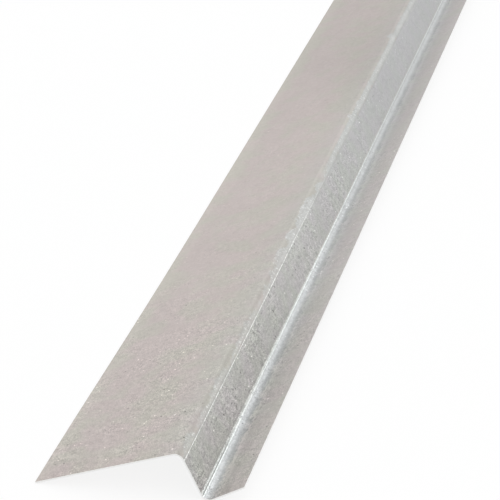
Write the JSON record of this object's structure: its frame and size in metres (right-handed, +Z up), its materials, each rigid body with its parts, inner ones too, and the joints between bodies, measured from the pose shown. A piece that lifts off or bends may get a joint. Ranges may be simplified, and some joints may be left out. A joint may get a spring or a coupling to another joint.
{
  "type": "z flashing",
  "caption": "Long galvanised steel z flashing with a wide wall flange, a short sloping web and a narrow drip lip, one formed strip.",
  "frame": {"origin": "at floor level, under the middle of the strip's bounding box, as the strip lies unheld", "axes": "+Y along the strip, +Z up from the floor, +X across the strip from the wide flange towards the narrow lip"},
  "size_m": [0.061, 3.048, 0.0137],
  "materials": {
    "galvanised_steel": "hot-dip zinc with a fine minimised spangle, satin"
  },
  "bodies": {
    "root": {"z_flashing": "galvanised_steel"}
  },
  "joints": []
}
